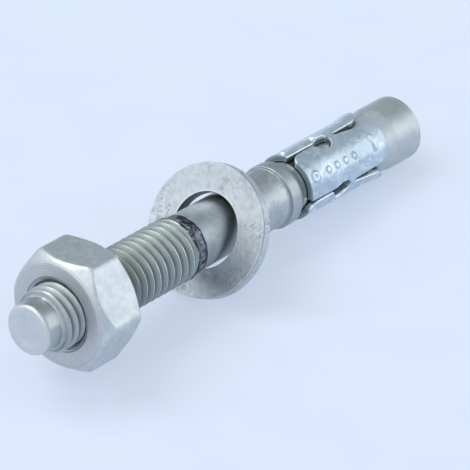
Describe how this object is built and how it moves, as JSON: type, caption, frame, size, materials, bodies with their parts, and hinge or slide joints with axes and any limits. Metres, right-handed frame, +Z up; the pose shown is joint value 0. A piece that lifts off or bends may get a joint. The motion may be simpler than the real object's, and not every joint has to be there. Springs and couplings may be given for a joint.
{
  "type": "wedge anchor",
  "caption": "Through-bolt anchor for concrete: threaded stud with a cone and folded expansion clip, hexagon nut and loose leaning washer, lying at rest.",
  "frame": {"origin": "on the table, under the middle of the bounding box of the resting anchor", "axes": "+X along the anchor on the table, from the threaded tip to the cone; +Z up; the bolt's axis lies in the XZ plane and drops 5.26 degrees towards the cone"},
  "size_m": [0.0842, 0.02, 0.0205],
  "materials": {
    "bolt_coating": "matt grey zinc coating",
    "nut_coating": "matt grey zinc coating",
    "washer_coating": "matt grey zinc coating, mottled",
    "clip_zinc": "bright bluish zinc plating"
  },
  "bodies": {
    "bolt": {"anchor_bolt": "bolt_coating"},
    "nut": {"hex_nut": "nut_coating"},
    "washer": {"washer": "washer_coating"},
    "clip": {"expansion_clip": "clip_zinc"}
  },
  "joints": [
    {"name": "nut_travel", "type": "slide", "parent": "bolt", "child": "nut", "axis": [0.9958, 0, -0.0916], "range_m": [-0.015, 0.0165]},
    {"name": "washer_slide", "type": "slide", "parent": "bolt", "child": "washer", "axis": [0.9958, 0, -0.0916], "range_m": [-0.002, 0.0095]},
    {"name": "clip_slide", "type": "slide", "parent": "bolt", "child": "clip", "axis": [0.9958, 0, -0.0916], "range_m": [-0.0007, 0.00015]}
  ]
}
